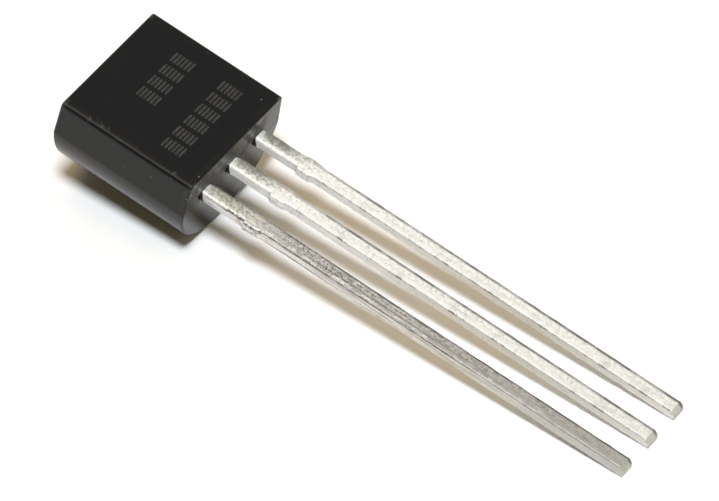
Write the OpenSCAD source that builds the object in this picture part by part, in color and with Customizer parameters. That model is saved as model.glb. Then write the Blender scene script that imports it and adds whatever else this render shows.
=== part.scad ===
// Three-lead moulded memory chip, lying as it comes to rest on a table: on the lead-end
// edge of its round back and on the tips of its three leads, with the marked flat upward.
// Millimetres. +X runs from the body to the lead tips, +Z is up and z = 0 is the table.

/* [Moulded body] */
// Width across the marked flat
flat_w = 4.38; // [3.9:0.01:4.5]
// Width at the parting plane, where the two mould halves met
body_w = 4.57; // [4.45:0.01:5.2]
// Length along the leads at the parting plane
body_l = 4.44; // [4.3:0.01:5.2]
// Height of the marked flat above the parting plane
front_h = 1.17; // [1.1:0.01:1.4]
// How far the axis of the round back lies above the parting plane
axis_up = 0.13; // [0.05:0.01:0.3]
// Draft of both end faces in the front mould half, in degrees
front_draft = 0.8; // [0.5:0.1:8]
// Draft of the lead end in the back mould half, in degrees
lead_end_draft = 1.3; // [0.5:0.1:5]
// Draft of the far end in the back mould half, in degrees
far_end_draft = 4; // [1:0.1:6]
// Radius along the side edges of the flat
flat_side_r = 0.15; // [0.03:0.01:0.2]
// Radius along the end edges of the flat
flat_end_r = 0.05; // [0.03:0.01:0.12]
// Radius along the end edges of the round back
back_edge_r = 0.06; // [0.05:0.01:0.25]
// Radius of the four upright corners, at the parting plane
corner_r = 0.06; // [0.05:0.01:0.3]

/* [Leads] */
// Spacing of the leads
lead_pitch = 1.27; // [1.2:0.01:1.3]
// Width of a lead
lead_w = 0.43; // [0.36:0.01:0.5]
// Thickness of the lead frame
lead_t = 0.36; // [0.3:0.01:0.42]
// Radius that stamping and plating give to a lead's long edges
lead_edge_r = 0.05; // [0.02:0.01:0.1]
// Length of the leads outside the body
lead_l = 14.1; // [10:0.1:16]
// Distance from the body to the stubs of the cut dam bar
stub_at = 1.43; // [1:0.01:2]
// Length of a dam bar stub along its lead
stub_l = 0.5; // [0.3:0.01:0.8]
// How far a dam bar stub stands out of the side of its lead
stub_out = 0.07; // [0.03:0.01:0.12]
// Height of the bevel that the cropping blade leaves at a lead's tip
tip_bevel = 0.14; // [0.05:0.01:0.2]
// Clearance slot beside each lead where it leaves the body
slot_w = 0.1; // [0.03:0.01:0.15]
// Depth of that clearance slot into the body
slot_d = 0.12; // [0.06:0.01:0.25]

/* [Lead frame inside the body] */
// Length of the die paddle along the leads
paddle_l = 1.7; // [1.4:0.01:1.8]
// Resin between the paddle and the far end of the body
paddle_end = 0.5; // [0.4:0.01:0.7]
// Width of the die paddle
paddle_w = 2.25; // [2.1:0.01:2.3]
// Gap between the paddle and the bond posts
post_gap = 0.25; // [0.2:0.01:0.35]
// Width of the data lead's bond post
data_post_w = 0.9; // [0.6:0.01:1]
// Length of the data lead's bond post
data_post_l = 0.6; // [0.4:0.01:0.8]
// Width of the spare lead's bond post
spare_post_w = 0.67; // [0.55:0.01:0.7]
// Length of the spare lead's bond post
spare_post_l = 1.5; // [1:0.01:1.7]
// Radius of the notches that lock the leads in the resin
notch_r = 0.09; // [0.05:0.01:0.12]
// Distance of those notches behind the clearance slots
notch_in = 0.36; // [0.3:0.01:0.5]

/* [Die and bond wires] */
// Length of the silicon die along the leads
die_l = 1.1; // [0.8:0.01:1.2]
// Width of the silicon die
die_w = 0.9; // [0.7:0.01:1.1]
// Thickness of the silicon die
die_t = 0.2; // [0.15:0.01:0.3]
// Thickness of the adhesive under the die
glue_t = 0.02; // [0.01:0.005:0.04]
// How far the adhesive shows round the die
glue_rim = 0.06; // [0.02:0.01:0.1]
// Paddle left free beside the die, on the side away from the ground lead
die_margin = 0.35; // [0.15:0.01:0.45]
// Distance of the bonds from the edges of the die and of the paddle
bond_edge = 0.12; // [0.08:0.01:0.16]
// Thickness of a gold bond wire
wire_d = 0.03; // [0.025:0.001:0.05]
// Radius of the bend at the top of a wire's loop
wire_bend_r = 0.16; // [0.1:0.01:0.2]
// Width of the ball and of the stitch at a wire's two ends
bond_w = 0.084; // [0.07:0.001:0.12]
// Height of the ball on the die
ball_h = 0.021; // [0.015:0.001:0.03]

/* [Hidden] */
$fn = 64;
reach = 0.5;       // how far a cutting shape runs past what it cuts
round_steps = 6;   // flats that a small round is made of

// The back is part of a cylinder that meets the front half at the parting plane.
back_r = norm([body_w / 2, axis_up]);
back_h = back_r - axis_up;
side_draft = atan((body_w - flat_w) / 2 / front_h);

// How far a round of radius r has its centre in from a face's foot, where that face leans in
// by draft on the way to height h.
function inset(h, draft, r) = h * tan(draft) + r / tan(45 + draft / 2);

// Resting: a line through the lead tips' lower edge touches the round lead-end edge of the
// back from below. (rest_x, rest_z) leads from the centre of that round edge to the tips.
rest_x = lead_l + inset(back_h, lead_end_draft, back_edge_r);
rest_z = back_h - back_edge_r;
tilt = atan2(rest_z, rest_x) + asin(back_edge_r / norm([rest_x, rest_z]));
rise = lead_l * sin(tilt);

// Reach of the lying chip along X: the far end's round edge and the lead tips.
far_round = body_l - inset(back_h, far_end_draft, back_edge_r);
far_x = -far_round * cos(tilt) - rest_z * sin(tilt) - back_edge_r;
tip_x = lead_l * cos(tilt) + (lead_t - tip_bevel) * sin(tilt);

// Inside, places along X count from where the leads leave the body.
paddle_x = -body_l + paddle_end;
paddle_y = -lead_pitch - lead_w / 2;
post_x = paddle_x + paddle_l + post_gap;
spare_x = paddle_x + (paddle_l + post_gap) / 2;
die_x = paddle_x + paddle_l / 2;
die_y = paddle_y + paddle_w - die_margin - die_w / 2;
die_z = lead_t + glue_t;

// Where each wire starts on the die and where it is stitched down on a lead.
data_pad = [die_x + die_l / 2 - bond_edge, die_y + die_w / 4];
data_stitch = [post_x + data_post_l / 2, 0];
ground_pad = [die_x + die_l / 2 - bond_edge, die_y - die_w / 4];
ground_stitch = [paddle_x + paddle_l - bond_edge, -lead_pitch];

// Turns a piece from the package's own axes, parting plane level, to the way it lies.
module lie_down() {
    translate([-(far_x + tip_x) / 2, 0, rise]) rotate([0, tilt, 0]) children();
}

// Stands a drawing in Y and Z up and runs it along the body.
module along_body() {
    translate([-body_l, 0, 0]) rotate([90, 0, 90]) linear_extrude(body_l) children();
}

// Stands a drawing in X and Z up and runs it across the body.
module across_body() {
    translate([0, body_w / 2, 0]) rotate([90, 0, 0]) linear_extrude(body_w) children();
}

// Points along a round of radius r about c, from angle a0 to a1.
function round_points(c, r, a0, a1) =
    [for (i = [0:round_steps]) let (t = a0 + (a1 - a0) * i / round_steps) c + r * [cos(t), sin(t)]];

// Area above the line from (a, 0) to (b, 0), h high: its sides lean in by the drafts da and db
// and its top corners are rounded with radius r.
module drafted(a, b, h, da, db, r) {
    ca = [a + inset(h, da, r), h - r];
    cb = [b - inset(h, db, r), h - r];
    polygon(concat([[a, 0]], round_points(ca, r, 180 - da, 90), round_points(cb, r, 90, db), [[b, 0]]));
}

// The body from above at the parting plane, its corners rounded.
module plan_outline() {
    x = [corner_r - body_l, -corner_r];
    y = body_w / 2 - corner_r;
    polygon(concat(
        round_points([x[1], y], corner_r, 90, 0), round_points([x[1], -y], corner_r, 0, -90),
        round_points([x[0], -y], corner_r, 270, 180), round_points([x[0], y], corner_r, 180, 90)));
}

// The front mould half's share of the body, above the parting plane.
module front_half() {
    intersection() {
        along_body() drafted(-body_w / 2, body_w / 2, front_h, side_draft, side_draft, flat_side_r);
        across_body() drafted(-body_l, 0, front_h, front_draft, front_draft, flat_end_r);
        linear_extrude(front_h) plan_outline();
    }
}

// The back mould half's share: the round back with its drafted ends.
module back_half() {
    intersection() {
        translate([-body_l, 0, axis_up]) rotate([0, 90, 0]) cylinder(h = body_l, r = back_r);
        across_body() mirror([0, 1])
            drafted(-body_l, 0, back_h, far_end_draft, lead_end_draft, back_edge_r);
        translate([0, 0, -back_h]) linear_extrude(back_h) plan_outline();
    }
}

// A lead's cross-section, rounded at its four corners.
module lead_section() {
    r = lead_edge_r;
    y = lead_w / 2 - r;
    polygon(concat(
        round_points([y, r], r, -90, 0), round_points([y, lead_t - r], r, 0, 90),
        round_points([-y, lead_t - r], r, 90, 180), round_points([-y, r], r, 180, 270)));
}

// One lead outside the resin: the shank with rounded edges, the stubs of the cut dam bar on
// its sides and the bevel that the cropping blade leaves at its tip.
module outer_lead() {
    difference() {
        union() {
            translate([-slot_d, 0, 0]) rotate([90, 0, 90]) linear_extrude(slot_d + lead_l) lead_section();
            translate([stub_at, -lead_w / 2 - stub_out, 0]) cube([stub_l, lead_w + 2 * stub_out, lead_t]);
        }
        translate([lead_l, -lead_w, lead_t - tip_bevel]) rotate([-90, 0, 0])
            linear_extrude(2 * lead_w) polygon([[0, 0], [-tip_bevel, -tip_bevel], [0, -tip_bevel]]);
    }
}

// A lead on its own pitch line: the shank outside, its square continuation back to inner_x in
// the resin with a pair of round notches that key it, and the pad drawn by the children.
module lead(y, inner_x) {
    translate([0, y, 0]) {
        outer_lead();
        linear_extrude(lead_t) {
            difference() {
                translate([inner_x, -lead_w / 2]) square([-slot_d - inner_x, lead_w]);
                for (s = [-1, 1]) translate([-slot_d - notch_in, s * lead_w / 2]) circle(notch_r);
            }
            children();
        }
    }
}

module ground_lead_form() {
    lead(-lead_pitch, paddle_x + paddle_l / 2)
        translate([paddle_x, paddle_y + lead_pitch]) square([paddle_l, paddle_w]);
}

module data_lead_form() {
    lead(0, post_x)
        translate([post_x, -data_post_w / 2]) square([data_post_l, data_post_w]);
}

module spare_lead_form() {
    lead(lead_pitch, spare_x)
        translate([spare_x, -lead_w / 2]) square([spare_post_l, spare_post_w]);
}

// The gap that the mould's slot leaves on both sides of a lead at the end of the body.
module root_slot(y) {
    translate([-slot_d, y - lead_w / 2 - slot_w, 0]) cube([slot_d + reach, lead_w + 2 * slot_w, lead_t]);
}

module die_attach_form() {
    translate([die_x - die_l / 2 - glue_rim, die_y - die_w / 2 - glue_rim, lead_t])
        cube([die_l + 2 * glue_rim, die_w + 2 * glue_rim, glue_t]);
}

module memory_die_form() {
    translate([die_x - die_l / 2, die_y - die_w / 2, die_z]) cube([die_l, die_w, die_t]);
}

// A bond wire: a ball welded to the die, the bend that rises out of it, and a straight run
// down, tangent to the bend, to the flat stitch on the lead.
module bond_wire(pad, stitch) {
    way = stitch - pad;
    low = lead_t + wire_d / 2 - (die_z + die_t + ball_h / 2);
    out = norm(way) - wire_bend_r;
    turn = atan2(low, out) + acos(wire_bend_r / norm([out, low]));
    run = sqrt(out * out + low * low - wire_bend_r * wire_bend_r);
    translate([pad.x, pad.y, die_z + die_t]) rotate([0, 0, atan2(way.y, way.x)]) {
        cylinder(h = ball_h, d = bond_w);
        translate([wire_bend_r, 0, ball_h / 2]) rotate([90, 0, 0]) rotate([0, 0, turn]) {
            rotate_extrude(angle = 180 - turn) translate([wire_bend_r, 0]) circle(d = wire_d);
            translate([wire_bend_r, 0, 0]) rotate([90, 0, 0]) cylinder(h = run, d = wire_d);
        }
        translate([norm(way), 0, lead_t - die_z - die_t]) cylinder(h = wire_d, d = bond_w);
    }
}

module data_bond_wire_form() { bond_wire(data_pad, data_stitch); }
module ground_bond_wire_form() { bond_wire(ground_pad, ground_stitch); }

module epoxy_body() {
    color("#2b2a2c") lie_down() difference() {
        union() {
            front_half();
            back_half();
        }
        for (y = [-1, 0, 1] * lead_pitch) root_slot(y);
        ground_lead_form();
        data_lead_form();
        spare_lead_form();
        die_attach_form();
        memory_die_form();
        data_bond_wire_form();
        ground_bond_wire_form();
    }
}

module ground_lead() { color("#b9b6b2") lie_down() ground_lead_form(); }
module data_lead() { color("#d2cfca") lie_down() data_lead_form(); }
module spare_lead() { color("#d2cfca") lie_down() spare_lead_form(); }
module die_attach() { color("#cfd2d6") lie_down() die_attach_form(); }
module memory_die() { color("#5b5f6b") lie_down() memory_die_form(); }
module data_bond_wire() { color("#d9a93c") lie_down() data_bond_wire_form(); }
module ground_bond_wire() { color("#d9a93c") lie_down() ground_bond_wire_form(); }

epoxy_body();
ground_lead();
data_lead();
spare_lead();
die_attach();
memory_die();
data_bond_wire();
ground_bond_wire();
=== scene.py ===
import bmesh
import bpy
import numpy as np
from mathutils import Matrix, Quaternion, Vector


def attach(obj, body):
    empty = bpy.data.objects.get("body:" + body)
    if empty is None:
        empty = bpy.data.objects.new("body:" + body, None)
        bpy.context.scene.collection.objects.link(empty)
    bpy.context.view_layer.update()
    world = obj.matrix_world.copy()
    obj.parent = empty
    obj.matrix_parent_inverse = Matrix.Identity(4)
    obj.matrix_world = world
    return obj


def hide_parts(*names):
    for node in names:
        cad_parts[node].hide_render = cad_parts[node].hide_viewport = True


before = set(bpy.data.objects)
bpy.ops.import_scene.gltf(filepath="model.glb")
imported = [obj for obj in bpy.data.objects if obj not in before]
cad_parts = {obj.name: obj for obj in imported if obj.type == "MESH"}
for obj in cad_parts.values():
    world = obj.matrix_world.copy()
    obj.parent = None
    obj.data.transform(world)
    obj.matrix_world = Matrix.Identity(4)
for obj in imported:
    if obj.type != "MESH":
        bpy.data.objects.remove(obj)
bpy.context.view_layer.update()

# ---------------------------------------------------------------------------------------
# The three leads. Each is stamped in one piece from a copper alloy strip and plated with
# tin; its inner end, a die paddle or a bond post, is moulded into the resin, which holds
# it. Cutting the dam bar left a stub on both sides, and cropping left a bevel at the tip.

# Sizes in mm. x runs along a lead from where it leaves the resin, y across the row, and z
# up from the leads' underside.
LEAD_PITCH, LEAD_W, LEAD_T, LEAD_L = 1.27, 0.43, 0.36, 14.1
ROOT_EDGE_R, PLAIN_EDGE_R, FAR_EDGE_R, TIP_EDGE_R = 0.075, 0.04, 0.09, 0.02
FAR_BURR = 0.045             # what the stamping die's wear adds to the far side
STUB_AT, STUB_L, STUB_OUT, STUB_EDGE_R = 1.43, 0.5, 0.07, 0.05
FAR_STUB_SHARE = 0.75        # how far the far stub stands out, as a share of the near one
TIP_BEVEL = 0.14
SLOT_W, SLOT_D = 0.10, 0.12
NOTCH_IN, NOTCH_R = 0.36, 0.09
RIPPLE, RIPPLE_WAVES = 0.0007, 36
RING_PITCH = 0.04            # how far apart the rings of points stand along a lead
PADDLE = (-3.94, -2.24, -0.215, 2.035)       # from x, to x, from y, to y off the lead's line
DATA_POST = (-1.99, -1.39, -0.45, 0.45)
SPARE_POST = (-2.965, -1.465, -0.215, 0.455)

# How the chip lies: its own axes, x along the leads and z up to the marked flat, are turned
# down by TILT, and the point where the middle lead leaves the resin stands at ROOT.
TILT = np.radians(8.642103)
ROOT = np.array([-4.706289, 0.0, 2.118693])
TURN = np.array([[np.cos(TILT), 0, np.sin(TILT)], [0, 1, 0], [-np.sin(TILT), 0, np.cos(TILT)]])
MM = 0.001


def lie_down(points):
    """Package points in mm, turned by TILT, moved to ROOT and given in metres."""
    return (points @ TURN.T + ROOT) * MM


def skin_of(name, patches, sharp=35):
    """Grids of points made one closed surface: quads between neighbouring points of each
    grid, coincident points merged, faces turned outwards, and edges that bend by more than
    sharp degrees kept sharp. Each patch is (points, share of edge wear at each point)."""
    points, wear, faces, start = [], [], [], 0
    for grid, worn in patches:
        rows, columns = grid.shape[:2]
        i = start + np.arange(rows * columns).reshape(rows, columns)
        faces.append(np.stack([i[:-1, :-1], i[:-1, 1:], i[1:, 1:], i[1:, :-1]], -1).reshape(-1, 4))
        points.append(lie_down(grid.reshape(-1, 3)))
        wear.append(np.broadcast_to(worn, (rows, columns)).ravel())
        start += rows * columns
    mesh = bpy.data.meshes.new(name)
    mesh.from_pydata(np.concatenate(points).tolist(), [], np.concatenate(faces).tolist())
    layer = mesh.attributes.new("edge_wear", "FLOAT", "POINT")
    layer.data.foreach_set("value", np.concatenate(wear).astype(np.float32))
    work = bmesh.new()
    work.from_mesh(mesh)
    bmesh.ops.remove_doubles(work, verts=work.verts, dist=2e-8)
    bmesh.ops.dissolve_degenerate(work, edges=work.edges, dist=1e-9)
    bmesh.ops.recalc_face_normals(work, faces=work.faces)
    work.to_mesh(mesh)
    work.free()
    mesh.polygons.foreach_set("use_smooth", np.ones(len(mesh.polygons), bool))
    mesh.set_sharp_from_angle(angle=np.radians(sharp))
    piece = bpy.data.objects.new(name, mesh)
    bpy.context.scene.collection.objects.link(piece)
    return piece


def step(x, at, over):
    """0 before at, 1 after it, with a straight rise of width over about it."""
    return np.clip((x - at) / over + 0.5, 0, 1)


def lead_section():
    """A rounded rectangle as a closed loop of places: the share of the way across and up
    between its corner centres, and the angle of the surface there. At each corner it makes a
    quarter turn, and from there a straight row of points leads to the next corner."""
    corners = np.array([(1, 0), (1, 1), (0, 1), (0, 0), (1, 0)])
    loop = []
    for k, (turn, row) in enumerate(((5, 3), (7, 9), (7, 3), (5, 3))):
        way = np.linspace(0, 1, row + 2)[1:-1, None]
        turned = np.linspace(90 * k - 90, 90 * k, turn)
        loop.append(np.column_stack([np.tile(corners[k], (turn, 1)), turned]))
        loop.append(np.column_stack([corners[k] + way * (corners[k + 1] - corners[k]), np.full(row, 90 * k)]))
    across, up, angle = np.concatenate(loop + [loop[0][:1]]).T
    return across, up, np.radians(angle)


def stamped_lead(name, side, pad, low_r, seed):
    """A rounded rectangle carried along a lead's line, x. Its left and right edges follow the
    stamped outline: pad, notches, shank, stubs. Its top falls at the bevel, all its sides draw
    in at the very tip, and low waves, a sum of sines, ripple the plating outside the resin.
    The far side stands out by the burr, and the near lower edge has the radius low_r."""
    # The rings, closer where the outline turns and at both ends.
    steps = [pad[1], STUB_AT, STUB_AT + STUB_L, -SLOT_D - NOTCH_IN]
    near = np.concatenate([s + np.array([-0.1, -0.014, -0.004, 0.004, 0.014, 0.1]) for s in steps])
    tip = LEAD_L - np.array([0.15, 0.14, 0.12, 0.09, 0.06, 0.03, 0.02, 0.015, 0.01, 0.006, 0.002, 0])
    x = np.unique(np.concatenate([pad[0] + np.array([0, 0.003, 0.01, 0.02]), near, tip,
                                  np.arange(pad[0] + 0.08, LEAD_L - 0.16, RING_PITCH)]))[:, None]
    across, up, angle = lead_section()

    # The stamped outline.
    in_pad = 1 - step(x, pad[1], 0.01)
    in_air = step(x, 0.1, 0.2)
    stub = step(x, STUB_AT, 0.03) * (1 - step(x, STUB_AT + STUB_L - 0.04, 0.2))
    far_stub = FAR_STUB_SHARE * step(x, STUB_AT, 0.3) * (1 - step(x, STUB_AT + STUB_L, 0.4))
    notch = np.sqrt(np.clip(NOTCH_R**2 - (x + SLOT_D + NOTCH_IN) ** 2, 0, None))
    left = -(LEAD_W / 2 + STUB_OUT * stub - notch)
    left += in_pad * (pad[2] - left)
    right = LEAD_W / 2 + STUB_OUT * far_stub - notch
    right += in_pad * (pad[3] - right) + FAR_BURR * in_air
    drawn = np.clip(TIP_EDGE_R - (LEAD_L - x), 0, TIP_EDGE_R)
    draw_in = TIP_EDGE_R - np.sqrt(TIP_EDGE_R**2 - drawn**2)
    left, right, low = left + draw_in, right - draw_in, draw_in
    high = LEAD_T - np.clip(x - (LEAD_L - TIP_BEVEL), 0, None) - draw_in

    # Its edge radii: large at the root, then small on the near side and large on the far one.
    on_bevel = step(x, LEAD_L - TIP_BEVEL, 0.06)
    near_r = ROOT_EDGE_R + (PLAIN_EDGE_R - ROOT_EDGE_R) * step(x, STUB_AT + 0.1, 0.3)
    near_r += (STUB_EDGE_R - near_r) * np.maximum(stub, on_bevel)
    far_r = FAR_EDGE_R + (STUB_EDGE_R - FAR_EDGE_R) * on_bevel
    top_r = near_r + (far_r - near_r) * across
    bottom_r = low_r + (PLAIN_EDGE_R - low_r) * np.maximum(across, 1 - in_air)
    r = bottom_r + (top_r - bottom_r) * up
    y = left + r + (right - left - 2 * r) * across + r * np.cos(angle)
    z = low + r + (high - low - 2 * r) * up + r * np.sin(angle)

    # The ripple, each wave with its own length along the lead and turns round it.
    waves = np.random.default_rng(seed)
    shank_y, shank_z = y[-40], z[-40]
    round_it = np.cumsum(np.hypot(np.diff(shank_y, prepend=shank_y[0]), np.diff(shank_z, prepend=shank_z[0])))
    round_it /= round_it[-1]
    ripple = 0 * y
    for _ in range(RIPPLE_WAVES):
        length = waves.uniform(0.12, 1.1)
        turns = waves.integers(-5, 6)
        ripple += length**0.7 * np.sin(2 * np.pi * (x / length + turns * round_it + waves.random()))
    ripple *= RIPPLE * step(x, 0.05, 0.1) * (1 - step(x, LEAD_L - 0.18, 0.05))
    y, z = y + ripple * np.cos(angle), z + ripple * np.sin(angle)

    # Rings that close both ends, and the wear along the stub's edges.
    rings = np.stack([x + 0 * y, y + side * LEAD_PITCH, z], -1)
    middle = [rings[k, :-1].mean(0) for k in (0, -1)]
    caps = [m + (rings[k] - m) * f for m, k in zip(middle, (0, -1)) for f in (0, 0.4, 0.8)]
    rings = np.concatenate([caps[:3], rings, caps[:2:-1]])
    rings[:, -1] = rings[:, 0]
    worn = np.concatenate([[0] * 3, (stub * step(x, 0, 0.01))[:, 0], [0] * 3])[:, None]
    return skin_of(name, [(rings, worn + 0 * rings[..., 0])])


ground = stamped_lead("ground_lead_plated", -1, PADDLE, 0.04, 11)
data = stamped_lead("data_lead_plated", 0, DATA_POST, 0.085, 23)
spare = stamped_lead("spare_lead_plated", 1, SPARE_POST, 0.10, 37)


def fill(sockets, values):
    """Gives each named socket its value, or links to it the output given for it."""
    for name, value in values.items():
        if isinstance(value, bpy.types.NodeSocket):
            value.id_data.links.new(value, sockets[name])
        else:
            sockets[name].default_value = value


def put(tree, kind, sockets=None, **settings):
    """Adds a node, sets its properties and fills its inputs."""
    made = tree.nodes.new("ShaderNode" + kind)
    for name, value in settings.items():
        setattr(made, name, value)
    fill(made.inputs, sockets or {})
    return made


def calc(operation, *values):
    """One step of arithmetic on outputs and numbers, in the tree of the first output."""
    tree = next(v.id_data for v in values if isinstance(v, bpy.types.NodeSocket))
    return put(tree, "Math", dict(enumerate(values)), operation=operation).outputs[0]


def times(first, *others):
    """The product of two or more values."""
    for value in others:
        first = calc("MULTIPLY", first, value)
    return first


def scaled(value, by, plus):
    """value times by, plus another value."""
    return calc("MULTIPLY_ADD", value, by, plus)


def away(value, middle):
    """How far value lies from middle, to either side."""
    return calc("ABSOLUTE", calc("SUBTRACT", value, middle))


def between(value, low, high, a=0.0, b=1.0, smooth=False):
    """a where value is under low, b where it is over high, and a blend on the way."""
    span = {0: value, 1: low, 2: high, 3: a, 4: b}
    kind = "SMOOTHSTEP" if smooth else "LINEAR"
    return put(value.id_data, "MapRange", span, interpolation_type=kind).outputs[0]


def fading(value, low, high, rest=0.0):
    """1 where value is under low, rest where it is over high, and a blend on the way."""
    return between(value, low, high, 1.0, rest)


def tint(share, a, b, blend="MIX"):
    """Colour a turned into b by share."""
    colours = {0: share, 6: a, 7: b}
    return put(share.id_data, "Mix", colours, data_type="RGBA", blend_type=blend).outputs[2]


def grain(place, scale, detail=2.0, rough=0.5, output=0):
    """Noise at a place, with scale in lumps per mm."""
    noise = {"Vector": place, "Scale": scale, "Detail": detail, "Roughness": rough}
    return put(place.id_data, "TexNoise", noise).outputs[output]


def shaken(place, by, scale, detail, rough):
    """A place moved by the three values of a noise, times by."""
    moved = {0: grain(place, scale, detail, rough, 1), 1: by, 2: place}
    return put(place.id_data, "VectorMath", moved, operation="MULTIPLY_ADD").outputs[0]


def parts_of(place):
    """The x, y and z of a place."""
    return put(place.id_data, "SeparateXYZ", {0: place}).outputs


def lot_of(cells):
    """A random number for each cell of a cell pattern."""
    return put(cells.id_data, "SeparateColor", {0: cells.outputs["Color"]}).outputs[0]


def bumps(tree, height, strength, depth):
    """A surface direction that follows height, over a depth in mm."""
    told = {"Height": height, "Strength": strength, "Distance": depth * MM}
    return put(tree, "Bump", told).outputs[0]


def group(name, inputs, outputs):
    """An empty node group with float or vector inputs, and its two end nodes."""
    tree = bpy.data.node_groups.new(name, "ShaderNodeTree")
    for direction, sockets in (("INPUT", inputs), ("OUTPUT", outputs)):
        for label, kind in sockets.items():
            tree.interface.new_socket(label, in_out=direction, socket_type="NodeSocket" + kind)
    return tree, tree.nodes.new("NodeGroupInput").outputs, tree.nodes.new("NodeGroupOutput").inputs


def use(tree, made, sockets=None):
    """Places a node group in a tree, fills its inputs and gives its outputs."""
    return put(tree, "Group", sockets, node_tree=made).outputs


# The place on any piece in the package axes, in mm: object coordinates turned back.
package_mm, _, ends = group("package_mm", {}, {"Place": "Vector"})
turned = put(package_mm, "Mapping", {
    "Vector": put(package_mm, "TexCoord").outputs["Object"], "Location": tuple(-TURN.T @ ROOT),
    "Rotation": (0, -TILT, 0), "Scale": (1 / MM,) * 3})
fill(ends, {"Place": turned.outputs[0]})

# Specks of dust: small dots about the middles of a few of the cells that divide a surface.
specks, given, ends = group(
    "specks", {"Place": "Vector", "Per mm": "Float", "Size": "Float", "Share": "Float"}, {"Mask": "Float"})
cells = put(specks, "TexVoronoi", {"Vector": given["Place"], "Scale": given["Per mm"], "Randomness": 1.0})
few = calc("LESS_THAN", lot_of(cells), given["Share"])
ragged = calc("ADD", cells.outputs["Distance"], scaled(grain(given["Place"], 40.0), 0.12, -0.06))
fill(ends, {"Mask": times(few, between(ragged, given["Size"], 0.0, 0.0, 2.0))})


def dots(place, per_mm, size, share):
    """Specks: cells per mm, the size of a dot in cells, and the share of cells that hold one."""
    told = {"Place": place, "Per mm": per_mm, "Size": size, "Share": share}
    return use(place.id_data, specks, told)["Mask"]


# Tin plating: fine crystals, each painted a little lighter or darker as it catches the light,
# with soft blotches over them. It is thick and bright in a block at the root. From there to
# the stubs the mould's clamp has dulled it and it has frosted, and cutting the dam bar has
# creased it. On the worn lead it is burnished and scratched along the lead and a seam runs
# down its top. Painted light and shade lie over this: a dark line of painted shade along the
# near edge, with a few painted glints beside it on the worn lead; painted shade on the bend
# of the far edge and at the foot of the stubs; black painted shade on the sides at the root;
# and on the sides, along the middle of the lead, a darker, warmer painted reflection of the
# table's shadow.

# The stretch, in mm along the lead, over which each of these begins (FROM) or ends (TO).
GLITTER_FROM, GLITTER_TO = (1.7, 3.2), (4.6, 6.6)
BURNISH_FROM, SCRATCHED_TOP_FROM, SCRATCHED_TO = (5.0, 7.5), (4.0, 7.0), (7.5, 10.0)
FROST_TO, FRESH_TO, CLAMP_TO, PITS_FROM = (1.4, 2.3), (1.0, 2.1), (1.0, 1.9), (1.2, 2.2)
SEAM_FROM, SEAM_TO = (2.6, 4.2), (8.5, 11.0)
SHADED_FROM, SHADED_TO, GRIT_TO, TIP_FROM = (3.0, 8.0), (9.5, 12.5), (6.0, 8.0), (8.5, 12.0)
LINE_WANDER_TO, LINE_WHOLE_TO, LINE_FAINT_FROM = (1.8, 2.6), (2.0, 2.5), (8.2, 9.6)
ROLLED_FROM, GLINT_FROM, GLINT_MOST_TO = (1.2, 4.2), (1.0, 1.6), (6.0, 8.0)
BEVEL_AT, NEAR_EDGE, FAR_EDGE = LEAD_L - TIP_BEVEL, -LEAD_W / 2, LEAD_W / 2

tin_skin, given, ends = group(
    "tin_skin", {"Wear": "Float", "Line": "Float"},
    dict.fromkeys(("Shade", "Roughness", "Height", "Bare", "Root", "Clamped", "Edge shade", "Root shade", "Top",
                   "Cut", "Glint", "Shaded", "Grit", "Tip", "Fresh"), "Float"))
worn = given["Wear"]
place = use(tin_skin, package_mm)["Place"]
x, y, z = parts_of(place)
across = calc("SUBTRACT", y, given["Line"])
along_x = put(tin_skin, "CombineXYZ", {0: x, 1: given["Line"]}).outputs[0]
top = between(z, LEAD_T - 0.06, LEAD_T - 0.02)

# The patterns: crystals, three sizes of noise, and a noise drawn out along the lead.
crystals = put(tin_skin, "TexVoronoi", {"Vector": place, "Scale": 25.0}, feature="F1")
facet = lot_of(crystals)
tilted = calc("SUBTRACT", facet, 0.5)
blotch = grain(place, 3.2, 3.0, 0.6)
patchy = grain(place, 8.5, 4.0, 0.7)
fine = grain(place, 26.0, 3.0, 0.65)
drawn = put(tin_skin, "VectorMath", {0: place, 1: (0.7, 24.0, 24.0)}, operation="MULTIPLY").outputs[0]
scratch = grain(drawn, 1.0, 3.0, 0.6)

# The crystals, each painted a little lighter or darker as it catches the light, and mottles
# on the far half of the top.
glitter = times(worn, between(x, *GLITTER_FROM), fading(x, *GLITTER_TO), top)
shade = calc("ADD", times(tilted, scaled(glitter, 0.40, 0.05)), between(patchy, 0.32, 0.56, 0.90, 1.02))
far_half = times(top, between(scaled(blotch, 0.25, across), 0.0, 0.16, 0.15, 1.0))
shade = scaled(far_half, between(scaled(fine, 0.5, patchy), 0.64, 0.80, -0.17, 0.02), shade)

# The burnished stretch, the frost before the stubs and the seam.
burnished = times(worn, top, between(x, *BURNISH_FROM))
shade = calc("ADD", shade, scaled(burnished, -0.13, times(glitter, -0.12)))
frosted = times(fading(scaled(blotch, 0.8, x), *FROST_TO), between(across, -0.17, -0.06, 0.3, 1.0),
                top, scaled(worn, -0.45, 1.0))
frost = calc("ADD", between(patchy, 0.36, 0.62, -0.34, 0.04), times(tilted, 0.26))
shade = scaled(frosted, frost, shade)
seam = times(fading(away(across, scaled(blotch, -0.03, -0.045)), 0.01, 0.035),
             between(patchy, 0.38, 0.56, 0.3, 1.0),
             between(x, *SEAM_FROM), fading(x, *SEAM_TO, 0.15), worn, top)
shade = scaled(seam, -0.24, shade)

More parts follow.
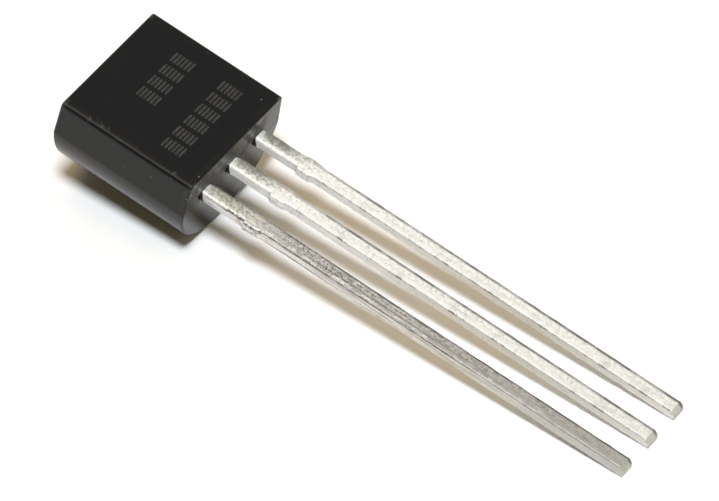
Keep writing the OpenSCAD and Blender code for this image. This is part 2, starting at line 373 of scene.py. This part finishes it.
# Scratches, pits, and creases about the stubs.
scratched = times(between(scratch, 0.5, 0.62), worn, fading(x, *SCRATCHED_TO, 0.4),
                  calc("MAXIMUM", between(x, *SCRATCHED_TOP_FROM, 0.3, 1.0),
                       between(top, 0.0, 1.0, 1.6, 0.0)))
pits = times(between(scaled(patchy, 0.8, fine), 1.03, 1.12), between(x, *PITS_FROM, 0.12, 0.4))
creases = put(tin_skin, "TexVoronoi", {"Vector": shaken(place, (0.25, 0.25, 0.25), 6.0, 3.0, 0.6),
                                       "Scale": 3.4}, feature="DISTANCE_TO_EDGE")
crease_depth = calc("ADD", worn, scaled(top, scaled(worn, -1.5, -0.3), 0.9))
creased = times(fading(creases.outputs["Distance"], 0.01, 0.09),
                between(away(x, STUB_AT + 0.3), 0.2, 0.7, 0.5, 0.0),
                between(blotch, 0.44, 0.56, 0.15, 1.0), crease_depth)
shade = calc("SUBTRACT", shade, scaled(scratched, 0.3, calc("MAXIMUM", pits, creased)))

# The bright block at the root, what the clamp dulled, and the copper bared at the far stub.
root = times(fading(scaled(patchy, 0.5, scaled(across, 0.3, x)), 0.24, 0.44),
             between(fine, 0.42, 0.54, 0.35, 1.0))
clamped = times(between(scaled(patchy, -0.34, across), -0.32, -0.12),
                fading(scaled(blotch, 0.5, x), *CLAMP_TO), calc("SUBTRACT", 1.0, root))
bare = times(fading(away(x, STUB_AT + STUB_L / 2), 0.16, 0.24),
             between(scaled(blotch, 0.16, across), 0.27, 0.33))

# The dark line of painted shade along the near edge: dashes, whole in places on the worn
# lead, from the stub on, or from the root on the worn lead, where it is fainter near the tip.
wander = times(between(patchy, 0.46, 0.62), between(x, *LINE_WANDER_TO, 0.07, 0.0))
off_edge = away(calc("ADD", z, wander), LEAD_T - PLAIN_EDGE_R)
dashes = between(grain(along_x, 1.5, 4.0, 0.65), 0.50, 0.60, 0.12, 1.0)
whole = times(worn, calc("MAXIMUM", between(blotch, 0.35, 0.6, 0.35, 1.0), fading(x, *LINE_WHOLE_TO)))
line_from = scaled(calc("GREATER_THAN", worn, 0.5), -1.3, STUB_AT + 0.4)
near_edge_shade = times(fading(off_edge, 0.018, 0.045), calc("MAXIMUM", dashes, whole),
                  between(calc("SUBTRACT", x, line_from), 0.0, 0.25), calc("LESS_THAN", across, 0.0),
                  fading(x, BEVEL_AT - 0.06, BEVEL_AT),
                  scaled(times(worn, between(x, *LINE_FAINT_FROM)), -0.6, 1.0))

# Painted shade on the bend of the far edge, and a line of painted shade at the foot of the stubs.
far_edge_shade = times(between(scaled(fine, 0.03, scaled(worn, -0.035, across)), FAR_EDGE - 0.095, FAR_EDGE - 0.06),
               between(z, 0.12, 0.3), between(x, *ROLLED_FROM, 0.35, 1.0),
               between(grain(along_x, 0.9, 3.0, 0.6), 0.40, 0.56, 0.55, 1.05))
stub_foot_shade = times(fading(away(x, STUB_AT - 0.005), 0.012, 0.03),
                  between(z, LEAD_T - 0.06, LEAD_T - 0.03, 0.8, 0.0))
edge_shade = calc("MAXIMUM", calc("MAXIMUM", near_edge_shade, far_edge_shade), stub_foot_shade)

# Painted glints beside the near edge, the cropped tip, and black painted shade on both sides
# of each lead at its root, where the slot and the resin shade them.
glint_at = calc("ADD", grain(along_x, 2.6, 3.0, 0.7), between(x, *GLINT_MOST_TO, 0.07, 0.0))
glint = times(fading(away(across, NEAR_EDGE + 0.075), 0.015, 0.035), between(glint_at, 0.52, 0.62),
              worn, between(x, *GLINT_FROM))
on_bevel = times(between(x, BEVEL_AT, BEVEL_AT + 0.02), calc("GREATER_THAN", z, LEAD_T - TIP_BEVEL - 0.01))
cut = calc("MAXIMUM", between(x, LEAD_L - 0.05, LEAD_L - 0.01), on_bevel)
root_shade_reach = scaled(z, -0.3, scaled(fine, 0.08, 0.07))
root_shade = times(calc("LESS_THAN", x, root_shade_reach), calc("GREATER_THAN", away(across, 0.0), FAR_EDGE - 0.03))

fill(ends, {
    "Shade": shade, "Bare": bare, "Root": root, "Clamped": clamped, "Edge shade": edge_shade,
    "Root shade": root_shade, "Top": top, "Cut": cut, "Glint": glint,
    "Roughness": scaled(facet, 0.2, between(blotch, 0.3, 0.7, -0.08, 0.08)),
    "Height": calc("ADD", times(facet, 0.9), calc("ADD", times(fine, 0.7), times(scratched, -0.8))),
    # Shaded: where the sides get painted shade, a darker, warmer reflection of the table's shadow.
    "Shaded": times(between(x, *SHADED_FROM), fading(x, *SHADED_TO, 0.35)),
    "Grit": fading(x, *GRIT_TO), "Tip": between(x, *TIP_FROM),
    "Fresh": times(top, fading(scaled(blotch, 0.5, x), *FRESH_TO))})


def material(name):
    """An empty node material: its tree and its surface shader."""
    made = bpy.data.materials.new(name)
    made.use_nodes = True
    tree = made.node_tree
    return made, tree, tree.nodes["Principled BSDF"]


# Dots as in dots(), and colours: dull and bright where a finish runs from one to the other.
GRIT_DOTS, GRIT = (9.0, 0.3, 0.3), (0.97, 0.97, 0.95, 1)
SIDE_DULL, SIDE_SHADED = (0.40, 0.38, 0.385, 1), (0.885, 0.855, 0.785, 1)
FRESH_DULL, FRESH_BRIGHT = (0.30, 0.305, 0.27, 1), (0.95, 0.96, 0.89, 1)
CLAMP_GREY, TIP_GREY, CUT_GREY = (0.18, 0.186, 0.16, 1), (0.42, 0.425, 0.41, 1), (0.56, 0.57, 0.51, 1)
BARE_COPPER, EDGE_SHADE_BLACK = (0.62, 0.42, 0.36, 1), (0.07, 0.07, 0.066, 1)
GLINT, ROOT_BRIGHT, ROOT_SHADE_BLACK = (1.0, 1.0, 0.98, 1), (1.0, 0.99, 0.95, 1), (0.028, 0.028, 0.029, 1)


def tin(name, line, wear, dull, bright, rough, metal):
    """Tin plating on the lead whose middle line is at y = line, from dull to bright on top,
    with each mark on it, and the painted glints and shade, laid over the last by its mask and strength."""
    made, tree, shader = material(name)
    skin = use(tree, tin_skin, {"Wear": wear, "Line": line})
    polish = between(skin["Shade"], 0.5, 1.0)
    side_bright = (1.0 - 0.12 * wear, 0.99 - 0.125 * wear, 0.98 - 0.13 * wear, 1)
    # The sides, with painted shade along the middle of the lead: a darker, warmer reflection of the table's
    # shadow.
    sides = tint(skin["Shaded"], tint(polish, SIDE_DULL, side_bright), SIDE_SHADED, "MULTIPLY")
    colour = tint(skin["Top"], sides, tint(polish, dull, bright))
    grit = dots(use(tree, package_mm)["Place"], *GRIT_DOTS)
    # Laid in turn: grit, fresh tin, the clamp's dulling, bare copper, the grey worn tip, painted glints, the
    # cut tip, painted edge shade, the bright root block and black painted shade at the root.
    for mask, strength, over in (
            (times(grit, skin["Grit"]), 0.55 * wear, GRIT),
            (skin["Fresh"], 0.9 * wear, tint(polish, FRESH_DULL, FRESH_BRIGHT)),
            (skin["Clamped"], 0.9 - 0.4 * wear, CLAMP_GREY),
            (skin["Bare"], 0.35, BARE_COPPER),
            (skin["Tip"], 0.55 * wear, TIP_GREY),
            (skin["Glint"], scaled(skin["Tip"], -0.9, 1.0), GLINT),
            (skin["Cut"], 0.85, CUT_GREY),
            (skin["Edge shade"], 0.80, EDGE_SHADE_BLACK),
            (skin["Root"], 0.85, ROOT_BRIGHT),
            (skin["Root shade"], 1.0, ROOT_SHADE_BLACK)):
        colour = tint(times(mask, strength), colour, over)
    fill(shader.inputs, {
        "Base Color": colour, "Metallic": scaled(skin["Root shade"], -metal, metal),
        "Roughness": calc("ADD", skin["Roughness"], rough),
        "Normal": bumps(tree, skin["Height"], 0.35 + 0.2 * wear, 0.008)})
    return made


WORN_TIN = {"dull": (0.20, 0.195, 0.20, 1), "bright": (0.74, 0.725, 0.72, 1), "rough": 0.40, "metal": 0.5}
BRIGHT_TIN = {"dull": (0.45, 0.455, 0.44, 1), "bright": (0.975, 0.985, 0.975, 1), "rough": 0.45,
              "metal": 0.25}
for piece, node, line, slot, wear, finish in (
        (ground, "ground_lead", -LEAD_PITCH, "worn_tin", 1.0, WORN_TIN),
        (data, "data_lead", 0.0, "bright_tin", 0.25, BRIGHT_TIN),
        (spare, "spare_lead", LEAD_PITCH, "bright_tin", 0.2, BRIGHT_TIN)):
    piece.data.materials.append(tin(node + "_tin", line, wear, **finish))
    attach(piece, "root")
    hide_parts(node)

# ---------------------------------------------------------------------------------------
# The adhesive, the die and the two bond wires. A film of silver-filled adhesive holds the
# silicon die to the paddle; gold wires, ball-bonded to the die, are stitched down on the
# paddle and on the data lead's post. The moulding hides them all.

silver_paste, tree, shader = material("silver_adhesive")
flakes = grain(use(tree, package_mm)["Place"], 60.0)
fill(shader.inputs, {"Base Color": tint(flakes, (0.42, 0.43, 0.45, 1), (0.78, 0.79, 0.82, 1)),
                     "Roughness": between(flakes, 0.3, 0.7, 0.35, 0.6), "Metallic": 0.8})

silicon, tree, shader = material("silicon")
blocks = put(tree, "TexBrick", {
    "Vector": use(tree, package_mm)["Place"], "Color1": (0.10, 0.13, 0.22, 1),
    "Color2": (0.16, 0.12, 0.24, 1), "Mortar": (0.45, 0.43, 0.36, 1), "Scale": 1.0,
    "Mortar Size": 0.008, "Brick Width": 0.21, "Row Height": 0.13}).outputs
fill(shader.inputs, {"Base Color": blocks["Color"], "Roughness": between(blocks["Fac"], 0, 1, 0.12, 0.4),
                     "Metallic": 0.6})

gold, tree, shader = material("gold_wire")
drawn = grain(use(tree, package_mm)["Place"], 30.0)
fill(shader.inputs, {"Base Color": tint(drawn, (0.86, 0.56, 0.17, 1), (0.98, 0.72, 0.30, 1)),
                     "Roughness": between(drawn, 0.3, 0.7, 0.15, 0.3), "Metallic": 1.0})

for node, finish in (("die_attach", silver_paste), ("memory_die", silicon),
                     ("data_bond_wire", gold), ("ground_bond_wire", gold)):
    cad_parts[node].data.materials.clear()
    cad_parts[node].data.materials.append(finish)

# ---------------------------------------------------------------------------------------
# The moulding: one block of black resin filled with silica, moulded about the lead frame in
# two mould halves that meet at the level of the leads' underside. The front half forms the
# marked flat and the leaning sides, the back half the round back; all ends have draft.

# Sizes in mm. AXIS_UP is how far the round back's axis lies above the parting plane.
FLAT_W, BODY_W, BODY_L, FRONT_H, AXIS_UP = 4.38, 4.57, 4.44, 1.17, 0.13
FLAT_SIDE_R, FLAT_END_R, CORNER_R, BACK_END_R = 0.15, 0.05, 0.05, 0.06
FRONT_DRAFT, LEAD_END_DRAFT, FAR_END_DRAFT = np.radians((0.8, 1.3, 4.0))
BACK_R = np.hypot(BODY_W / 2, AXIS_UP)
SIDE_LEAN = np.arctan((BODY_W - FLAT_W) / 2 / FRONT_H)
SLOT_STEP = 0.004            # over which a slot's walls fall


def body_columns():
    """The D-shaped section as pairs of points, one on the front and one on the back for each
    of a row of columns from one parting line to the other. Half of it: up the leaning side,
    round the edge of the flat and along the flat; and round the back's circle. Each point
    has its place (y, z), the surface's direction there, and the radius of the end edge.
    Columns stand in pairs at the slots' walls."""
    foot = np.array([0, 0.02, 0.08, 0.16, 0.25, 0.34, 0.43, 0.52, 0.61, 0.7, 0.79, 0.87, 0.94, 0.985])
    arc = np.linspace(SIDE_LEAN, np.pi / 2, 9)
    centre = np.array([
        BODY_W / 2 - FRONT_H * np.tan(SIDE_LEAN) - FLAT_SIDE_R / np.tan(np.pi / 4 + SIDE_LEAN / 2),
        FRONT_H - FLAT_SIDE_R])
    shoulder = centre + FLAT_SIDE_R * np.array([np.cos(SIDE_LEAN), np.sin(SIDE_LEAN)])
    slot_walls = [c + s * (LEAD_W / 2 + w + d) for c in (0, LEAD_PITCH) for s in (-1, 1)
                  for w in (0, SLOT_W) for d in (-SLOT_STEP, SLOT_STEP)]
    along = np.concatenate([np.arange(0, centre[0] - 0.05, 0.075), slot_walls, [centre[0] - 0.015]])
    along = np.unique(along)
    along = along[(along >= 0)][::-1]
    front = np.concatenate([
        np.outer(1 - foot, (BODY_W / 2, 0)) + np.outer(foot, shoulder),
        centre + FLAT_SIDE_R * np.stack([np.cos(arc), np.sin(arc)], 1),
        np.stack([along, FRONT_H + 0 * along], 1)])
    lean = np.concatenate([np.full(len(foot), SIDE_LEAN), arc, np.full(len(along), np.pi / 2)])
    lean[0] = 0.5 * (SIDE_LEAN - np.arcsin(AXIS_UP / BACK_R))
    kink = np.arccos(AXIS_UP / BACK_R)
    swing = np.linspace(kink, np.arcsin(along[0] / BACK_R), len(foot) + len(arc) + 1)[:-1]
    swing = np.concatenate([swing, np.arcsin(along / BACK_R)])
    back = np.stack([BACK_R * np.sin(swing), AXIS_UP - BACK_R * np.cos(swing)], 1)
    fall = -(np.pi / 2 - swing)
    fall[0] = lean[0]

    # The end edge's radius eases from the parting plane's to the flat's and to the back's.
    share = np.clip((front[:, 1] - 0.25) / 0.7, 0, 1)
    front_r = CORNER_R + (FLAT_END_R - CORNER_R) * share * share * (3 - 2 * share)
    back_r = CORNER_R + (BACK_END_R - CORNER_R) * step(np.arange(len(swing)), 12, 12)
    half = [np.column_stack([p, np.cos(a), np.sin(a), r])
            for p, a, r in ((front, lean, front_r), (back, fall, back_r))]
    return [np.concatenate([h, (h * (-1, 1, -1, 1, 1))[-2::-1]]) for h in half]


def end_x(z, lead_end):
    """Where an end face stands at height z: drafted both ways from the parting plane."""
    if lead_end:
        return -np.abs(z) * np.where(z > 0, np.tan(FRONT_DRAFT), np.tan(LEAD_END_DRAFT))
    return -BODY_L + np.abs(z) * np.where(z > 0, np.tan(FRONT_DRAFT), np.tan(FAR_END_DRAFT))


def end_edge(ring, lead_end, angle):
    """The ring on the round edge of an end: drawn in by the edge's radius at angle 0, where
    it meets the end face, and full at 90 degrees, where it meets the sides."""
    r = ring[:, 4]
    spot = ring[:, :2] - ring[:, 2:4] * (r * (1 - np.sin(angle)))[:, None]
    x = end_x(spot[:, 1], lead_end) + (-1 if lead_end else 1) * r * (1 - np.cos(angle))
    return np.column_stack([x, spot])


def end_face(front, back, lead_end):
    """An end face as columns from the back's edge up to the front's, as high as the draft's
    slope puts them. The lead end is sunk by SLOT_D where a lead stands and in a slot along
    its near side. The slot beside its far side, and the foot of both, are filled in by resin
    that leaked past the mould."""
    below = -np.array([1, 0.97, 0.88, 0.76, 0.64, 0.52, 0.4, 0.28, 0.16, 0.06])
    above = np.array([0.1, 0.2, 0.3, LEAD_T - SLOT_STEP, LEAD_T + SLOT_STEP, 0.46, 0.58, 0.7, 0.82,
                      0.94, 1.04, 1.1]) / (FRONT_H - FLAT_END_R)
    rows = []
    lowest, highest = end_edge(back, lead_end, 0), end_edge(front, lead_end, 0)
    for share in np.concatenate([below, [-0.002, 0.0036], above, [1]]):
        z = np.where(share < 0, -share * lowest[:, 2], share * highest[:, 2])
        way = (z - lowest[:, 2]) / np.maximum(highest[:, 2] - lowest[:, 2], 1e-9)
        y = lowest[:, 1] + way * (highest[:, 1] - lowest[:, 1])
        rows.append(np.column_stack([end_x(z, lead_end), y, z]))
    rows[0], rows[-1] = lowest, highest
    face = np.array(rows)
    if lead_end:
        z = face[..., 2]
        off = face[..., 1, None] - LEAD_PITCH * np.array([-1, 0, 1])
        sunk = (1 - step(-off, LEAD_W / 2 + SLOT_W, SLOT_STEP)) * (1 - step(off, LEAD_W / 2, SLOT_STEP))
        sunk = sunk.max(-1) * step(z, 0.15, 0.1) * (1 - step(z, LEAD_T, SLOT_STEP))
        face[..., 0] -= SLOT_D * sunk
    return face


# The sides run from one end's round edge to the other's. Their points carry the wear of the
# edges, of the ends and of the flat, which is strongest where both meet.
EDGE_RINGS, SIDE_RINGS, CORNER_WEAR = 8, 44, 0.35
FLAT_EDGE_UP, FLAT_EDGE_OUT = 0.9, 1.9      # mm: the flat's edges lie above and outside these
front, back = body_columns()
ring = np.concatenate([front, back[-2:0:-1], front[:1]])
quarter = np.linspace(0, np.pi / 2, EDGE_RINGS)
lead_edge = [end_edge(ring, True, a) for a in quarter]
far_edge = [end_edge(ring, False, a) for a in quarter[::-1]]
along = np.concatenate([[0.004], np.linspace(0.02, 0.98, SIDE_RINGS), [0.996]])
sides = [lead_edge[-1] + (far_edge[0] - lead_edge[-1]) * a for a in along]
on_flat_edge = ((ring[:, 1] > FLAT_EDGE_UP) & (np.abs(ring[:, 0]) > FLAT_EDGE_OUT)).astype(float)
on_end = np.concatenate([np.ones(EDGE_RINGS), np.zeros(len(along)), np.ones(EDGE_RINGS)])[:, None]
wear = np.maximum(on_end, on_flat_edge) + CORNER_WEAR * on_end * on_flat_edge
body = skin_of("moulded_body", [(np.array(lead_edge + sides + far_edge), wear),
                                (end_face(front, back, True), 0), (end_face(front, back, False), 0)])

# The laser etches a mark as short blocks of scanned lines, in two rows on the flat.
BLOCK_PITCH, BLOCK_W, BLOCK_H, SCAN_PITCH = 0.53, 0.39, 0.68, 0.117      # mm
laser_row, given, ends = group(
    "laser_row", {"Place": "Vector", "At x": "Float", "At y": "Float", "Half length": "Float"},
    {"Mask": "Float"})


def in_cell(value, pitch):
    """How far value lies from the middle of its cell, in a row of cells a pitch long."""
    return away(calc("FRACT", calc("DIVIDE", value, pitch)), 0.5)


x, y, _ = parts_of(given["Place"])
x, y = calc("SUBTRACT", x, given["At x"]), calc("SUBTRACT", y, given["At y"])
fill(ends, {"Mask": times(
    between(away(x, 0.0), BLOCK_H / 2, BLOCK_H / 2 - 0.02),
    calc("LESS_THAN", away(y, 0.0), given["Half length"]),
    between(in_cell(y, BLOCK_PITCH), BLOCK_W / BLOCK_PITCH / 2, BLOCK_W / BLOCK_PITCH / 2 - 0.04),
    between(in_cell(x, SCAN_PITCH), 0.36, 0.26))})

# Moulding compound: mottled black with fine specks of filler and dust, edges rubbed grey and
# a painted highlight along the edge of the far end. The lead end has a pale stain and crumbs,
# which are painted pale grey for their glints.
FILLER_DOTS, DUST_DOTS, CRUMB_GLINT_DOTS = (11.0, 0.16, 0.05), (2.3, 0.055, 0.12), (6.0, 0.19, 0.75)
ROWS = ((-2.76, 0.47, 2 * BLOCK_PITCH), (-1.20, 0.01, 3 * BLOCK_PITCH))      # at x, at y, half length
BLACK, BLACK_MOTTLE = (0.0024, 0.0030, 0.0043, 1), (0.0039, 0.0047, 0.0065, 1)
FAR_END_HIGHLIGHT, FILLER, RUBBED = (0.028, 0.029, 0.030, 1), (0.10, 0.10, 0.10, 1), (0.12, 0.12, 0.12, 1)
STAIN, ETCHED, DUST_AND_GLINT_GREY = (0.035, 0.035, 0.030, 1), (0.047, 0.047, 0.047, 1), (0.42, 0.42, 0.42, 1)

resin, tree, shader = material("moulding_compound")
place = use(tree, package_mm)["Place"]
x, y, z = parts_of(place)
on_lead_end = calc("GREATER_THAN", x, -0.2)
moved = shaken(place, (0.03, 0.03, 0), 14.0, 2.0, 0.5)
etched = calc("MAXIMUM", *(
    use(tree, laser_row, {"Place": moved, "At x": at_x, "At y": at_y, "Half length": half})["Mask"]
    for at_x, at_y, half in ROWS))
etched = times(etched, calc("GREATER_THAN", z, FRONT_H - 0.02),
               between(grain(place, 9.0, 3.0), 0.3, 0.6, 0.55, 1.0))
mottle = grain(place, 1.3, 4.0, 0.6)
crumb_glints = times(dots(place, *CRUMB_GLINT_DOTS), on_lead_end, between(z, 0.45, 0.6), between(y, 0.0, 0.4, 0.8, 0.0))
stained = times(fading(away(z, 0.55), 0.3, 0.7), on_lead_end,
                between(grain(place, 3.2, 2.5, 0.6), 0.34, 0.64), fading(y, 1.4, 1.8))
edge = put(tree, "Attribute", attribute_name="edge_wear").outputs["Fac"]
rubbed = between(times(edge, grain(place, 5.5, 4.0, 0.7)), 0.61, 0.71)
far_end_highlight = times(edge, calc("LESS_THAN", x, -BODY_L + 0.15))
dust_and_crumb_glints = calc("MINIMUM", calc("MAXIMUM", dots(place, *DUST_DOTS), crumb_glints), 1.0)
colour = tint(mottle, BLACK, BLACK_MOTTLE)
# Laid in turn: the far end's painted highlight, filler specks, rubbed edges, the stain, the etched mark, and
# dust with the crumbs' painted glints.
for mask, strength, over in (
        (far_end_highlight, 0.6, FAR_END_HIGHLIGHT), (dots(place, *FILLER_DOTS), 0.12, FILLER), (rubbed, 0.5, RUBBED),
        (stained, 0.5, STAIN), (etched, 1.0, ETCHED), (dust_and_crumb_glints, 1.0, DUST_AND_GLINT_GREY)):
    colour = tint(times(mask, strength), colour, over)
rough = scaled(edge, 0.1, between(mottle, 0.3, 0.7, 0.19, 0.26))
rough = scaled(calc("MAXIMUM", etched, rubbed), 0.3, rough)
height = calc("SUBTRACT", times(grain(place, 38.0, 3.0, 0.6), 0.5), times(etched, 1.5))
fill(shader.inputs, {"Base Color": colour, "Roughness": scaled(stained, 0.25, rough),
                     "Normal": bumps(tree, height, 0.5, 0.002), "IOR": 1.38})
body.data.materials.append(resin)
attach(body, "root")
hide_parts("epoxy_body")

# ---------------------------------------------------------------------------------------
# The table, the lamp, the room and the camera. The chip lies on a smooth white sheet under a
# soft, slightly cool lamp almost overhead. The room about it is warm: dark on one side, with
# a pale wall on the other and a glow on the ceiling.

TABLE_HALF, TABLE_LINES = 1.5, 25      # metres, and the lines of its grid each way
table_mesh = bpy.data.meshes.new("table")
u = np.linspace(-TABLE_HALF, TABLE_HALF, TABLE_LINES)
spots = np.stack(np.meshgrid(u, u, [0.0], indexing="ij"), -1).reshape(-1, 3)
i = np.arange(TABLE_LINES**2).reshape(TABLE_LINES, TABLE_LINES)
quads = np.stack([i[:-1, :-1], i[1:, :-1], i[1:, 1:], i[:-1, 1:]], -1).reshape(-1, 4)
table_mesh.from_pydata(spots.tolist(), [], quads.tolist())
table = bpy.data.objects.new("table", table_mesh)
bpy.context.scene.collection.objects.link(table)

# The sheet looks a little brighter to the camera, and by part of that in what mirrors it,
# than the light it throws on the chip.
MIRRORED_LIFT = 0.35
paper, tree, shader = material("white_sheet")
tooth = grain(put(tree, "TexCoord").outputs["Object"], 900.0, 3.0)
fill(shader.inputs, {"Base Color": tint(tooth, (0.83, 0.83, 0.83, 1), (0.87, 0.87, 0.87, 1)),
                     "Roughness": 0.9, "Specular IOR Level": 0.0})
path = put(tree, "LightPath").outputs
mirrored = calc("MAXIMUM", path["Is Glossy Ray"], path["Is Transmission Ray"])
seen = calc("MAXIMUM", path["Is Camera Ray"], times(mirrored, MIRRORED_LIFT))
lift = put(tree, "BsdfDiffuse", {"Color": (0.20, 0.20, 0.20, 1)})
both = put(tree, "AddShader", {0: shader.outputs[0], 1: lift.outputs[0]})
shown = put(tree, "MixShader", {0: seen, 1: shader.outputs[0], 2: both.outputs[0]})
fill(tree.nodes["Material Output"].inputs, {"Surface": shown.outputs[0]})
table_mesh.materials.append(paper)

WALL_LOW, WALL_HIGH = (0.07, 0.06, 0.05, 1), (0.458, 0.448, 0.41, 1)
DARK_SIDE, DARK_SIDE_END = (0.035, 0.029, 0.012, 1), (0.21, 0.17, 0.08, 1)
GLOW, GLOW_TOWARD = (1.40, 0.96, 0.47, 1), Vector((-0.05, 0.05, 1)).normalized()
GLOW_EDGE = (0.883, 0.961)      # cosines of the angles, 28 and 16 degrees, over which it grows
room = bpy.data.worlds.new("room")
bpy.context.scene.world = room
room.use_nodes = True
tree = room.node_tree
tree.nodes.clear()
toward = put(tree, "TexCoord").outputs["Generated"]
dx, dy, dz = parts_of(toward)
wall = tint(between(dz, 0.35, 0.65), WALL_LOW, WALL_HIGH)
dark_side = tint(between(dx, -0.5, 0.5), DARK_SIDE, DARK_SIDE_END)
air = tint(between(dy, 0.0, 0.5, smooth=True), dark_side, wall)
facing = put(tree, "VectorMath", {0: toward, 1: tuple(GLOW_TOWARD)}, operation="DOT_PRODUCT")
air = tint(between(facing.outputs["Value"], *GLOW_EDGE, smooth=True), air, GLOW)
air = tint(fading(dz, 0.03, 0.07), air, (1, 1, 1, 1))
sky = put(tree, "Background", {"Color": air, "Strength": 1.0})
put(tree, "OutputWorld", {0: sky.outputs[0]})

LAMP_FAR, LAMP_SIZE, LAMP_WATTS, LAMP_COLOUR = 0.6, 0.12, 3.25, (0.90, 0.95, 1.0)      # metres
lamp = bpy.data.lights.new("soft_lamp", "AREA")
lamp.shape, lamp.size, lamp.energy, lamp.color = "DISK", LAMP_SIZE, LAMP_WATTS, LAMP_COLOUR
lamp_at = Vector((0.19, -0.37, 1)).normalized()
holder = bpy.data.objects.new("soft_lamp", lamp)
turn = lamp_at.to_track_quat("Z", "Y")
holder.matrix_world = Matrix.Translation(lamp_at * LAMP_FAR) @ turn.to_matrix().to_4x4()
bpy.context.scene.collection.objects.link(holder)

# The camera, in metres, looks at AIM from the direction VIEW_FROM, with a long lens.
AIM = Vector((-0.00084, 0.00067, 0.00071))
VIEW_FROM = Vector((0.36343, -0.57788, 0.73072))
VIEW_FAR, VIEW_ROLL, LENS = 0.24314, np.radians(3.105), 443.8
view = bpy.data.cameras.new("camera")
view.lens, view.sensor_width, view.clip_start, view.clip_end = LENS, 36.0, 0.005, 10.0
camera = bpy.data.objects.new("camera", view)
turn = VIEW_FROM.to_track_quat("Z", "Y") @ Quaternion((0, 0, 1), VIEW_ROLL)
camera.matrix_world = Matrix.Translation(AIM + VIEW_FROM * VIEW_FAR) @ turn.to_matrix().to_4x4()
bpy.context.scene.collection.objects.link(camera)
bpy.context.scene.camera = camera
bpy.context.scene.view_settings.view_transform = "Standard"
